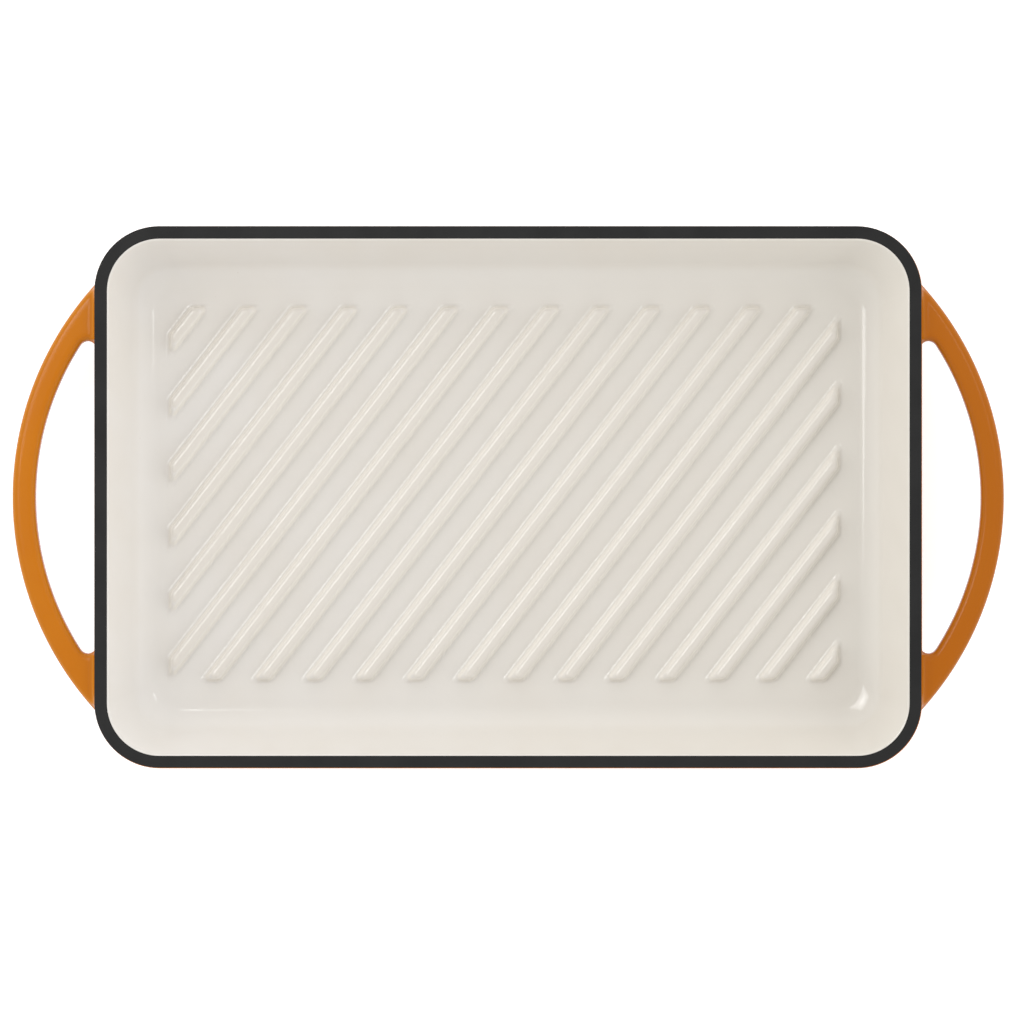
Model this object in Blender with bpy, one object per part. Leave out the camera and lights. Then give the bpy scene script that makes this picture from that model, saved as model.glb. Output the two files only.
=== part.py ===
"""Enamelled cast-iron grill plate with a loop handle at each end.

The plate lies flat and open side up: X runs along its length from handle to handle, Y across it,
and Z = 0 is the plane that the foot rests on. Under the enamel is one iron casting, and each coat
of enamel is a closed skin of its own.
"""
from collections import namedtuple
from math import acos, asin, atan, atan2, ceil, cos, pi, radians, sin, sqrt, tan

import bmesh
import bpy
from mathutils import Vector

# Body of the plate, in metres
BODY_LENGTH = 0.3300
BODY_WIDTH = 0.2162
COOKING_DEPTH = 0.0230
IRON_FLOOR = 0.0045
RIM_WIDTH = 0.0050
CORNER_RADIUS = 0.0260
FLOOR_CORNER_RADIUS = 0.0100
BASE_CORNER_RADIUS = 0.0140
WALL_DRAFT = radians(28.0)
INNER_FILLET = 0.0120
OUTER_FILLET = 0.0140

# Enamel and the space that it keeps to the iron and to the next coat
COAT = 0.00045
CLEARANCE = 0.0003
RIM_ROUNDING = 0.0002

# Foot that carries the plate on the hob
FOOT_HEIGHT = 0.0010
FOOT_WIDTH = 0.0070
FOOT_MARGIN = 0.0030

# Raised ribs, slanting up to the right, in a field that stops short of the walls
RIB_ANGLE = radians(52.1)
RIB_PITCH = 0.01605
RIB_HEIGHT = 0.0038
RIB_TOP_WIDTH = 0.0028
RIB_BASE_WIDTH = 0.0072
RIB_END_RUN = 0.0025
RIB_ROUNDING = 0.0005
RIB_PHASE = 0.0012
FIELD_MARGIN_X = 0.0052
FIELD_MARGIN_Y = 0.0079
FIELD_SHIFT_X = -0.0016
FIELD_SHIFT_Y = 0.0015

# Loop handles, measured outward from the body's end
HANDLE_REACH = 0.0332
HANDLE_SIDE_MARGIN = 0.0226
HANDLE_ROOT_LENGTH = 0.0162
BAR_WIDTH = 0.0093
BAR_HEIGHT = 0.0085
BAR_ROUNDING = 0.0025
HANDLE_DROP = 0.0025
WINDOW_CORNER_RADIUS = 0.0035
WINDOW_TUCK = 0.0004

# Fineness of the curves
CORNER_STEPS = 7
FILLET_STEPS = 5
HANDLE_CORNER_STEPS = 4
HANDLE_ARC_STEPS = 16
ROUNDING_STEPS = 2
SHARPEST_CORNER = 0.0010

# Levels and places that follow from the sizes above
CORE_DEPTH = COAT + CLEARANCE
COOKING_FLOOR_Z = FOOT_HEIGHT + CORE_DEPTH + IRON_FLOOR + CORE_DEPTH
RIM_Z = COOKING_FLOOR_Z + COOKING_DEPTH
WALL_TOP_Z = RIM_Z - CORE_DEPTH
HANDLE_TOP_Z = RIM_Z - HANDLE_DROP
HANDLE_BOTTOM_Z = HANDLE_TOP_Z - BAR_HEIGHT
HALF_LENGTH = BODY_LENGTH / 2
HALF_WIDTH = BODY_WIDTH / 2

# One drafted wall surface: inset and corner radius at the rim, level and corner radius at its
# flat, and the fillet between flat and wall
WallSide = namedtuple("WallSide", "rim_inset rim_radius flat_z flat_radius fillet")
INSIDE = WallSide(RIM_WIDTH, CORNER_RADIUS - RIM_WIDTH, COOKING_FLOOR_Z, FLOOR_CORNER_RADIUS, INNER_FILLET)
OUTSIDE = WallSide(0.0, CORNER_RADIUS, FOOT_HEIGHT, BASE_CORNER_RADIUS, OUTER_FILLET)

# Base colours (linear), metallic and roughness of each finish
FINISHES = {
    "cast_iron": ((0.060, 0.058, 0.056), 0.85, 0.60),
    "cream_enamel": ((0.730, 0.680, 0.600), 0.0, 0.12),
    "orange_enamel": ((0.560, 0.185, 0.028), 0.0, 0.18),
    "black_ground_enamel": ((0.035, 0.032, 0.031), 0.0, 0.55),
}


def finish(name):
    """The named material, made the first time that it is asked for."""
    material = bpy.data.materials.get(name)
    if material is None:
        color, metallic, roughness = FINISHES[name]
        material = bpy.data.materials.new(name)
        material.use_nodes = True
        shader = material.node_tree.nodes["Principled BSDF"]
        shader.inputs["Base Color"].default_value = (*color, 1.0)
        shader.inputs["Metallic"].default_value = metallic
        shader.inputs["Roughness"].default_value = roughness
        material.diffuse_color = (*color, 1.0)
    return material


def add_object(name, bm, finish_name=None):
    """Puts a bmesh in the scene as a piece, or as a hidden cutter if it has no finish."""
    bmesh.ops.recalc_face_normals(bm, faces=bm.faces)
    mesh = bpy.data.meshes.new(name)
    bm.to_mesh(mesh)
    bm.free()
    piece = bpy.data.objects.new(name, mesh)
    bpy.context.scene.collection.objects.link(piece)
    if finish_name:
        mesh.materials.append(finish(finish_name))
        mesh.shade_smooth()
        mesh.set_sharp_from_angle(angle=radians(30.0))
    else:
        piece.hide_render = True
        piece.display_type = "WIRE"
    return piece


def combine(piece, operation, *others):
    """Adds one live Boolean for each of the other objects."""
    for other in others:
        boolean = piece.modifiers.new(f"{operation.lower()}_{other.name}", "BOOLEAN")
        boolean.operation = operation
        boolean.solver = "EXACT"
        boolean.object = other


def ring(inset, radius, z):
    """A rounded rectangle at height z, set in from the body's outline at the rim."""
    half_x = HALF_LENGTH - inset
    half_y = HALF_WIDTH - inset
    radius = max(radius, SHARPEST_CORNER)
    points = []
    for quarter in range(4):
        centre_x = (half_x - radius) * (1 if quarter in (0, 3) else -1)
        centre_y = (half_y - radius) * (1 if quarter in (0, 1) else -1)
        for step in range(CORNER_STEPS + 1):
            angle = (quarter + step / CORNER_STEPS) * pi / 2
            points.append((centre_x + radius * cos(angle), centre_y + radius * sin(angle), z))
    return points


def loft(bm, rings, closed=False):
    """Skins a run of rings with as many points each, capped at both ends or closed on itself."""
    loops = [[bm.verts.new(point) for point in points] for points in rings]
    pairs = list(zip(loops, loops[1:]))
    if closed:
        pairs.append((loops[-1], loops[0]))
    for near, far in pairs:
        for i in range(len(near)):
            j = (i + 1) % len(near)
            bm.faces.new((near[i], near[j], far[j], far[i]))
    if not closed:
        bm.faces.new(loops[0])
        bm.faces.new(loops[-1])


def flat_inset(side):
    """How far in from the body's outline the flat of a wall surface begins."""
    wall_start_z = side.flat_z + side.fillet * (1 - sin(WALL_DRAFT))
    return side.rim_inset + (RIM_Z - wall_start_z) * tan(WALL_DRAFT) + side.fillet * cos(WALL_DRAFT)


def wall_rings(side, offset, top_z):
    """Rings of a wall surface from its flat up to top_z, moved by offset away from the food."""
    centre_inset = flat_inset(side)
    centre_z = side.flat_z + side.fillet

    def corner_radius(inset_before, inset_after):
        share = (inset_before - side.rim_inset) / (centre_inset - side.rim_inset)
        at_level = side.rim_radius + share * (side.flat_radius - side.rim_radius)
        return at_level + inset_before - inset_after

    rings = []
    for step in range(FILLET_STEPS + 1):
        angle = (pi / 2 - WALL_DRAFT) * step / FILLET_STEPS
        before = centre_inset - side.fillet * sin(angle)
        after = centre_inset - (side.fillet + offset) * sin(angle)
        z = centre_z - (side.fillet + offset) * cos(angle)
        rings.append(ring(after, corner_radius(before, after), z))
    before = side.rim_inset + (RIM_Z - top_z) * tan(WALL_DRAFT)
    after = before - offset / cos(WALL_DRAFT)
    rings.append(ring(after, corner_radius(before, after), top_z))
    return rings


def foot_edges():
    """Inset and corner radius of the foot's outer and inner edge."""
    outer = flat_inset(OUTSIDE) + FOOT_MARGIN
    outer_radius = BASE_CORNER_RADIUS - FOOT_MARGIN
    return (outer, outer_radius), (outer + FOOT_WIDTH, outer_radius - FOOT_WIDTH)


def tray_block(name, offset, top_z):
    """A solid block with the plate's outer shape, used as a cutter and as a start."""
    bm = bmesh.new()
    loft(bm, wall_rings(OUTSIDE, offset, top_z))
    return add_object(name, bm)


def iron_block(name):
    """The casting before its hollow is cut: outer walls, base and foot."""
    (outer, outer_radius), (inner, inner_radius) = foot_edges()
    base_z = FOOT_HEIGHT + CORE_DEPTH
    rings = [
        ring(inner, inner_radius, base_z),
        ring(inner, inner_radius, CORE_DEPTH),
        ring(outer, outer_radius, CORE_DEPTH),
        ring(outer, outer_radius, base_z),
    ]
    rings += wall_rings(OUTSIDE, -CORE_DEPTH, WALL_TOP_Z)
    bm = bmesh.new()
    loft(bm, rings)
    return add_object(name, bm, "cast_iron")


def cooking_hollow(name):
    """Cutter for the hollow that holds the cream coat, open past the rim."""
    bm = bmesh.new()
    loft(bm, wall_rings(INSIDE, CORE_DEPTH, RIM_Z + CORE_DEPTH))
    return add_object(name, bm)


def rib_field():
    """Half sizes of the field that the ribs fill, measured at their feet."""
    half_x = HALF_LENGTH - flat_inset(INSIDE) - FIELD_MARGIN_X
    half_y = HALF_WIDTH - flat_inset(INSIDE) - FIELD_MARGIN_Y
    return half_x, half_y


def rib_offsets():
    """Distance of each rib's centre line from the field's centre, towards the lower right."""
    half_x, half_y = rib_field()
    across = half_x * sin(RIB_ANGLE) + half_y * cos(RIB_ANGLE)
    most = ceil(across / RIB_PITCH) + 1
    offsets = []
    for count in range(-most, most + 1):
        offset = count * RIB_PITCH + RIB_PHASE
        in_corner = (across - abs(offset)) / (sin(RIB_ANGLE) * cos(RIB_ANGLE))
        if in_corner > RIB_BASE_WIDTH:
            offsets.append(offset)
    return offsets


def add_rib(bm, offset, inset, foot_z, rounding):
    """One tapered bar, cut off at the field's four sides, with every face moved in by inset."""
    half_x, half_y = rib_field()
    centre = Vector((FIELD_SHIFT_X, FIELD_SHIFT_Y, 0.0))
    along = Vector((cos(RIB_ANGLE), sin(RIB_ANGLE), 0.0))
    across = Vector((sin(RIB_ANGLE), -cos(RIB_ANGLE), 0.0))
    flank_run = (RIB_BASE_WIDTH - RIB_TOP_WIDTH) / 2
    top_z = COOKING_FLOOR_Z + RIB_HEIGHT - inset
    half_run = half_x + half_y

    def half_width(z):
        taper = (z - COOKING_FLOOR_Z) * flank_run / RIB_HEIGHT
        return RIB_BASE_WIDTH / 2 - taper - inset / cos(atan(flank_run / RIB_HEIGHT))

    section = [(-half_width(foot_z), foot_z), (half_width(foot_z), foot_z)]
    section += [(half_width(top_z), top_z), (-half_width(top_z), top_z)]
    bar = bmesh.new()
    loops = []
    for end in (-half_run, half_run):
        start = centre + along * end
        loops.append([start + across * (offset + side) + Vector((0.0, 0.0, z)) for side, z in section])
    loft(bar, loops)
    lean = atan(RIB_END_RUN / RIB_HEIGHT)
    for direction, half in (((1, 0), half_x), ((-1, 0), half_x), ((0, 1), half_y), ((0, -1), half_y)):
        outward = Vector((*direction, 0.0))
        end_face = centre + outward * (half - inset / cos(lean)) + Vector((0.0, 0.0, COOKING_FLOOR_Z))
        normal = outward * cos(lean) + Vector((0.0, 0.0, sin(lean)))
        everything = bar.verts[:] + bar.edges[:] + bar.faces[:]
        bmesh.ops.bisect_plane(bar, geom=everything, plane_co=end_face, plane_no=normal, clear_outer=True)
        bmesh.ops.holes_fill(bar, edges=bar.edges[:])
    if rounding:
        raised = [edge for edge in bar.edges if max(vert.co.z for vert in edge.verts) > COOKING_FLOOR_Z]
        bmesh.ops.bevel(
            bar, geom=raised, offset=rounding, segments=ROUNDING_STEPS, profile=0.5,
            affect="EDGES", clamp_overlap=True,
        )
    copies = {vert: bm.verts.new(vert.co) for vert in bar.verts}
    for face in bar.faces:
        bm.faces.new([copies[vert] for vert in face.verts])
    bar.free()


def ribs(name, inset, foot_z, rounding=0.0):
    """All the ribs, as bars that stand clear of each other."""
    bm = bmesh.new()
    for offset in rib_offsets():
        add_rib(bm, offset, inset, foot_z, rounding)
    return add_object(name, bm)


def arc_radius(half_chord, rise):
    """Radius of the arc that rises this far over a chord."""
    return (half_chord ** 2 + rise ** 2) / (2 * rise)


def handle_outline(centre, radius, corner, corner_radius, corner_start, root_x):
    """An arc between two round corners that lead back to the wall, from its +Y end to its -Y end.

    The arc is centred on the X axis. A corner's circle touches the arc from inside.
    """
    corner_x, corner_y = corner
    meet = atan2(corner_y, corner_x - centre)
    half = []
    for step in range(HANDLE_CORNER_STEPS + 1):
        angle = corner_start + (meet - corner_start) * step / HANDLE_CORNER_STEPS
        half.append((corner_x + corner_radius * cos(angle), corner_y + corner_radius * sin(angle)))
    half.insert(0, (root_x, half[0][1]))
    arc = []
    for step in range(1, HANDLE_ARC_STEPS):
        angle = meet - 2 * meet * step / HANDLE_ARC_STEPS
        arc.append((centre + radius * cos(angle), radius * sin(angle)))
    return half + arc + [(x, -y) for x, y in reversed(half)]


def handle_paths(inset):
    """Outer and inner outline of a handle, both moved into the material by inset.

    X is measured outward from the middle of the body. Both outlines have as many points.
    """
    root_half = HALF_WIDTH - HANDLE_SIDE_MARGIN
    root_x = HALF_LENGTH - RIM_WIDTH - (RIM_Z - HANDLE_BOTTOM_Z) * tan(WALL_DRAFT) - SHARPEST_CORNER

    outer_radius = arc_radius(root_half, HANDLE_REACH)
    outer_centre = HALF_LENGTH + HANDLE_REACH - outer_radius
    turn_radius = BAR_ROUNDING + SHARPEST_CORNER
    turn_reach = outer_radius - turn_radius
    turn_angle = acos((HALF_LENGTH - HANDLE_DROP * tan(WALL_DRAFT) - outer_centre) / outer_radius)
    turn = (outer_centre + turn_reach * cos(turn_angle), turn_reach * sin(turn_angle))
    outer = handle_outline(outer_centre, outer_radius - inset, turn, turn_radius - inset, pi / 2, root_x)

    window_rise = HANDLE_REACH - BAR_WIDTH
    window_radius = arc_radius(root_half - HANDLE_ROOT_LENGTH, window_rise)
    window_centre = HALF_LENGTH + window_rise - window_radius
    corner_x = HALF_LENGTH - WINDOW_TUCK + WINDOW_CORNER_RADIUS
    corner_reach = window_radius - WINDOW_CORNER_RADIUS
    corner_y = sqrt(corner_reach ** 2 - (corner_x - window_centre) ** 2)
    corner_radius = WINDOW_CORNER_RADIUS + inset
    corner_start = pi - asin(inset / corner_radius)
    inner = handle_outline(
        window_centre, window_radius + inset, (corner_x, corner_y), corner_radius, corner_start, root_x
    )
    return outer, inner


def handle_loop(name, side, inset, finish_name=None):
    """One handle as a bar with rounded edges, its roots running in past the wall."""
    rounding = max(BAR_ROUNDING - inset, SHARPEST_CORNER)
    levels = []
    for step in range(ROUNDING_STEPS + 1):
        angle = pi / 2 * step / ROUNDING_STEPS
        levels.append((inset + rounding * (1 - sin(angle)), inset + rounding * (1 - cos(angle))))
    sections = [(draw_in, HANDLE_BOTTOM_Z + rise) for draw_in, rise in levels]
    sections += [(draw_in, HANDLE_TOP_Z - rise) for draw_in, rise in reversed(levels)]
    bm = bmesh.new()
    loops = []
    for draw_in, z in sections:
        outer, inner = handle_paths(draw_in)
        outline = outer + inner[::-1]
        loops.append([bm.verts.new((side * x, y, z)) for x, y in outline])
    count = len(loops[0])
    for lower, upper in zip(loops, loops[1:]):
        for i in range(count):
            j = (i + 1) % count
            bm.faces.new((lower[i], lower[j], upper[j], upper[i]))
    for cap in (loops[0], loops[-1]):
        for i in range(count // 2 - 1):
            bm.faces.new((cap[i], cap[i + 1], cap[count - 2 - i], cap[count - 1 - i]))
    return add_object(name, bm, finish_name)


def make_casting(cores):
    """Floor, walls, foot, rib cores and handle cores, cast in one piece."""
    casting = iron_block("iron_casting")
    combine(casting, "UNION", *cores)
    combine(casting, "DIFFERENCE", cooking_hollow("cooking_hollow_cutter"))
    rib_foot_z = COOKING_FLOOR_Z - CORE_DEPTH - IRON_FLOOR / 4
    combine(casting, "UNION", ribs("rib_cores", CORE_DEPTH, rib_foot_z))


def make_cooking_enamel():
    """Cream coat over floor, ribs and inner walls."""
    bm = bmesh.new()
    rings = wall_rings(INSIDE, COAT, WALL_TOP_Z)
    rings += reversed(wall_rings(INSIDE, 0.0, WALL_TOP_Z))
    loft(bm, rings)
    lining = add_object("cream_cooking_enamel", bm, "cream_enamel")
    combine(lining, "UNION", ribs("rib_coats", 0.0, COOKING_FLOOR_Z - COAT / 2, RIB_ROUNDING))
    combine(lining, "DIFFERENCE", ribs("rib_core_cutter", COAT, COOKING_FLOOR_Z - 2 * COAT))


def make_rim_enamel():
    """Matte black band over the top of the wall."""
    sections = [
        (RIM_WIDTH, WALL_TOP_Z + CLEARANCE),
        (RIM_WIDTH, RIM_Z - RIM_ROUNDING),
        (RIM_WIDTH - RIM_ROUNDING, RIM_Z),
        (RIM_ROUNDING, RIM_Z),
        (0.0, RIM_Z - RIM_ROUNDING),
        (0.0, WALL_TOP_Z + CLEARANCE),
    ]
    bm = bmesh.new()
    loft(bm, [ring(inset, CORNER_RADIUS - inset, z) for inset, z in sections], closed=True)
    add_object("black_rim_enamel", bm, "black_ground_enamel")


def make_foot_enamel():
    """Matte black band under the foot, the face that the plate rests on."""
    outer, inner = foot_edges()
    corners = ((outer, 0.0), (inner, 0.0), (inner, COAT), (outer, COAT))
    bm = bmesh.new()
    loft(bm, [ring(*edge, z) for edge, z in corners], closed=True)
    add_object("black_foot_enamel", bm, "black_ground_enamel")


def make_wall_enamel(root_cutters):
    """Orange coat over the outer walls, from the foot to the rim, open at the handles' roots."""
    (outer, outer_radius), _ = foot_edges()
    edge = (outer - CLEARANCE, outer_radius + CLEARANCE)
    rings = [ring(*edge, FOOT_HEIGHT + COAT)]
    rings += wall_rings(OUTSIDE, -COAT, WALL_TOP_Z)
    rings += reversed(wall_rings(OUTSIDE, 0.0, WALL_TOP_Z))
    rings.append(ring(*edge, FOOT_HEIGHT))
    bm = bmesh.new()
    loft(bm, rings, closed=True)
    coat = add_object("orange_wall_enamel", bm, "orange_enamel")
    combine(coat, "DIFFERENCE", *root_cutters)


def make_base_enamel():
    """Orange coat on the underside, inside the foot."""
    _, (inner, inner_radius) = foot_edges()
    edge = (inner + CLEARANCE, inner_radius - CLEARANCE)
    bm = bmesh.new()
    loft(bm, [ring(*edge, FOOT_HEIGHT), ring(*edge, FOOT_HEIGHT + COAT)])
    add_object("orange_base_enamel", bm, "orange_enamel")


def make_handle_enamel(name, side, core_cutter, wall_cutter):
    """Orange coat around one handle, open where its roots meet the wall."""
    coat = handle_loop(name, side, 0.0, "orange_enamel")
    combine(coat, "DIFFERENCE", core_cutter, wall_cutter)


def main():
    for leftover in list(bpy.data.objects):
        bpy.data.objects.remove(leftover)
    sides = {"left": -1, "right": 1}
    cores = [handle_loop(f"{word}_handle_core", side, CORE_DEPTH) for word, side in sides.items()]
    root_cutters = [handle_loop(f"{word}_root_cutter", side, COAT) for word, side in sides.items()]
    wall_cutter = tray_block("wall_cutter", CLEARANCE, WALL_TOP_Z)
    make_casting(cores)
    make_cooking_enamel()
    make_rim_enamel()
    make_foot_enamel()
    make_wall_enamel(root_cutters)
    make_base_enamel()
    for (word, side), root_cutter in zip(sides.items(), root_cutters):
        make_handle_enamel(f"{word}_handle_enamel", side, root_cutter, wall_cutter)


main()
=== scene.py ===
"""Enamelled cast-iron grill plate: ribbed cream lining, matte rim, orange coat and two loop handles.

X runs along the plate from handle to handle, Y across it, and Z up out of the open side. Lengths
are in metres. A wall's section is drawn as inset, the distance in from the rim's outline, and z.
"""
from collections import namedtuple
from math import acos, atan2, cos, degrees, hypot, pi, radians, sin, sqrt, tan

import bmesh
import bpy
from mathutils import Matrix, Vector


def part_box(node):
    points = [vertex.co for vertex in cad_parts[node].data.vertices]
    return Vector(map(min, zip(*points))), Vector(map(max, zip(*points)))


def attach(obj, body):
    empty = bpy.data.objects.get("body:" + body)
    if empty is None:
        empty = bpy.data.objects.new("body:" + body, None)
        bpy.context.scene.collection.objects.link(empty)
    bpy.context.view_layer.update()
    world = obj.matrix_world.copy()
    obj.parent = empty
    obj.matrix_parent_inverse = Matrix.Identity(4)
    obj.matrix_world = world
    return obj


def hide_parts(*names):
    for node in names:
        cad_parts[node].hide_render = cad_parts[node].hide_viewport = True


bl_info = {
    "name": "Grill Plate",
    "version": (1, 0, 0),
    "blender": (4, 5, 0),
    "location": "View3D > Sidebar > Grill Plate",
    "description": "Models an enamelled cast-iron grill plate and lights it in a white studio",
    "category": "Add Mesh",
}

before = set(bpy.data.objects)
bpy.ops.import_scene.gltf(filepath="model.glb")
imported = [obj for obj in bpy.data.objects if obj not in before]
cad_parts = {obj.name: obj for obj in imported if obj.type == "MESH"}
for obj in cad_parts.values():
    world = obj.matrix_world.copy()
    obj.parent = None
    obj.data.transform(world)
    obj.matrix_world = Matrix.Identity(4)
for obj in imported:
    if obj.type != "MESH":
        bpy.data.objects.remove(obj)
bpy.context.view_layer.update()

# Levels and outlines that the packed frame gives
RIM_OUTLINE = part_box("black_rim_enamel")[1]
COOKING_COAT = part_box("cream_cooking_enamel")[0]
HANDLE_LOW, HANDLE_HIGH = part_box("right_handle_enamel")
FOOT_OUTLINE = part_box("black_foot_enamel")[1]
BASE_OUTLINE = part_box("orange_base_enamel")[1]
BASE_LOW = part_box("orange_base_enamel")[0].z

# The field of ribs lies a little off the plate's middle, and its middle rib a little to one side
FIELD_MIDDLE = Vector((-0.0016, 0.0015, 0.0))
RIB_PHASE = 0.0012
SIDES = (Vector((1, 0, 0)), Vector((-1, 0, 0)), Vector((0, 1, 0)), Vector((0, -1, 0)))

# How near a vertex must be to a place to count as there
TINY = 0.00002

# How far the cream lining's edge lies below the top of the rim
LINING_DROP = 0.0002

# Part of a rib's half width that its corners' radii may take up
SHARP_SHARE, BLUNT_SHARE = 0.85, 1.10

# The right handle: how far in the loop begins, behind the wall, and where its skin is cut off at the rim
LOOP_START = RIM_OUTLINE.x - 0.010
SKIN_START = RIM_OUTLINE.x - 0.0011

# The places where a handle runs into the wall: from and to these distances from the plate's long axis
ROOT_FROM, ROOT_TO = 0.050, 0.096
WALL_LEAN = radians(28.0)

# The middle of the picture, across the plate
VIEW_Y = -0.00588

# The two lower corners of the ribbed floor, at which the lights point
LOWER_RIGHT, LOWER_LEFT = (0.142, -0.081, 0.010), (-0.142, -0.081, 0.010)

# Power of the softbox's brighter middle, as a share of the softbox's own
CORE_SHARE = 0.14

# What the floor adds to itself where it is seen, so that it shows white
FLOOR_GLOW = 0.64

Ring = namedtuple("Ring", "inset radius z shift_x shift_y", defaults=(0.0, 0.0))
Circle = namedtuple("Circle", "inset z radius")


def length(name, description, default):
    """A length that a user may change."""
    return bpy.props.FloatProperty(
        name=name, description=description, default=default, min=0.0, unit="LENGTH", subtype="DISTANCE",
        precision=5,
    )


def colour(name, description, default):
    """A finish's base colour."""
    return bpy.props.FloatVectorProperty(
        name=name, description=description, default=default, size=3, min=0.0, max=1.0, subtype="COLOR",
    )


class PlateSizes(bpy.types.PropertyGroup):
    """Sizes of the plate's body, coats and ribs."""

    rim_width: length("Rim width", "Width of the flat matte band on top of the wall", 0.0050)
    rim_radius: length("Rim corner", "Outer corner radius of the rim", 0.0260)
    coat: length("Coat", "Thickness of a coat of enamel", 0.00045)
    floor_inset: length("Floor inset", "From the rim's outline in to where the flat floor begins", 0.02444)
    floor_radius: length("Floor corner", "Corner radius where the flat floor begins", 0.0100)
    floor_fillet: length("Floor fillet", "Radius between the floor and the wall inside", 0.0120)
    lip_radius: length("Lip radius", "Rounding of the lining's upper edge", 0.0008)
    base_inset: length("Base inset", "From the rim's outline in to where the flat base begins", 0.02383)
    base_radius: length("Base corner", "Corner radius where the flat base begins", 0.0140)
    base_fillet: length("Base fillet", "Radius between the base and the wall outside", 0.0140)
    field_x: length("Field length", "Half the length of the field of ribs", 0.13536)
    field_y: length("Field width", "Half the width of the field of ribs", 0.07576)
    rib_pitch: length("Rib pitch", "From one rib's middle to the next", 0.01605)
    rib_height: length("Rib height", "Height of a rib above the floor", 0.0038)
    rib_width: length("Rib width", "Width of a rib at its foot", 0.00626)
    rib_run: length("Rib run", "How far a rib's sides and ends lean in over its height", 0.00124)
    rib_crest: length("Rib crest", "Radius of a rib's upper edges", 0.0018)
    rib_root: length("Rib root", "Radius of the hollow fillet around a rib's foot", 0.0015)
    sharp_corner: length("Sharp corner", "Corner radius at a rib's sharp ends, at its foot", 0.0016)
    blunt_corner: length("Blunt corner", "Corner radius at a rib's blunt ends, at its foot", 0.0030)
    rib_angle: bpy.props.FloatProperty(
        name="Rib angle", description="Slant of the ribs from the plate's length", default=radians(52.1),
        subtype="ANGLE",
    )
    rib_count: bpy.props.IntProperty(
        name="Ribs", description="Number of ribs in the field", default=19, min=1, max=60,
    )


class HandleSizes(bpy.types.PropertyGroup):
    """Sizes of the two loop handles."""

    outer_radius: length("Outer radius", "Radius of the loop's outer arc", 0.1264)
    window_radius: length("Window radius", "Radius of the window's long side", 0.1125)
    window_rise: length("Window rise", "From the plate's end to the window's far side", 0.0239)
    corner_radius: length("Window corner", "Corner radius of the window", 0.0035)
    edge_radius: length("Edge radius", "Rounding of the bar's edges", 0.0025)
    flare_radius: length("Flare radius", "Hollow fillet between the bar's top and the rim", 0.0022)
    fineness: length("Fineness", "Grid that the cast shape is drawn on", 0.00048)


class EnamelColours(bpy.types.PropertyGroup):
    """Base colours of the finishes."""

    cream: colour("Cream", "Cooking side", (0.722, 0.692, 0.653))
    orange: colour("Orange", "Outside and handles", (0.530, 0.165, 0.004))
    black: colour("Black", "Matte ground coat on rim and foot", (0.009, 0.0088, 0.0086))
    iron: colour("Iron", "Bare casting", (0.060, 0.058, 0.056))


class StudioSettings(bpy.types.PropertyGroup):
    """Camera and light of the studio."""

    camera_height: length("Camera height", "From the rim up to the camera", 1.8)
    view_width: length("View width", "Width of the picture at the rim", 0.40814)
    view_x: length("View X", "Middle of the picture, along the plate", 0.0015)
    key_power: bpy.props.FloatProperty(
        name="Key light", description="Power of the softbox at the upper left", default=11.6, min=0.0,
        subtype="POWER", unit="POWER",
    )
    strip_power: bpy.props.FloatProperty(
        name="Strip light", description="Power of the strip at the upper right", default=0.45, min=0.0,
        subtype="POWER", unit="POWER",
    )
    tent: bpy.props.FloatVectorProperty(
        name="Tent sides", description="Brightness of the tent towards the right, back, left and front",
        default=(2.58, 1.96, 2.09, 1.60), size=4, min=0.0,
    )


def plate():
    """The scene's plate sizes."""
    return bpy.context.scene.grill_plate


# Modelling


def select_only(*pieces):
    """Leaves edit mode and selects only these objects, the first of them active."""
    if bpy.context.mode != "OBJECT":
        bpy.ops.object.mode_set(mode="OBJECT")
    bpy.ops.object.select_all(action="DESELECT")
    for piece in pieces:
        piece.select_set(True)
    if pieces:
        bpy.context.view_layer.objects.active = pieces[0]


def edit_all(piece):
    """Opens one object in edit mode, with all of it selected."""
    select_only(piece)
    bpy.ops.object.mode_set(mode="EDIT")
    bpy.ops.mesh.select_all(action="SELECT")


def start_piece(name):
    """Begins a new mesh object at the origin and leaves it in edit mode, with nothing in it yet."""
    select_only()
    bpy.ops.mesh.primitive_plane_add(size=1.0)
    piece = bpy.context.object
    piece.name = piece.data.name = name
    bpy.ops.object.mode_set(mode="EDIT")
    bpy.ops.mesh.delete(type="VERT")
    return piece


def pick(kind, test):
    """Selects only the vertices, edges or faces in edit mode that pass a test."""
    bpy.ops.mesh.select_mode(type=kind)
    bpy.ops.mesh.select_all(action="DESELECT")
    mesh = bpy.context.edit_object.data
    shape = bmesh.from_edit_mesh(mesh)
    elements = {"VERT": shape.verts, "EDGE": shape.edges, "FACE": shape.faces}[kind]
    chosen = [element for element in elements if test(element)]
    if not chosen:
        raise RuntimeError(f"nothing to select on {bpy.context.edit_object.name}")
    for element in chosen:
        element.select_set(True)
    bmesh.update_edit_mesh(mesh)
    return len(chosen)


def apply_modifier(piece, kind, **settings):
    """Adds a modifier with these settings and applies it."""
    select_only(piece)
    modifier = piece.modifiers.new(kind.title(), kind)
    for setting, value in settings.items():
        setattr(modifier, setting, value)
    if bpy.ops.object.modifier_apply(modifier=modifier.name) != {"FINISHED"}:
        raise RuntimeError(f"{kind} could not be applied to {piece.name}")


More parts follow.
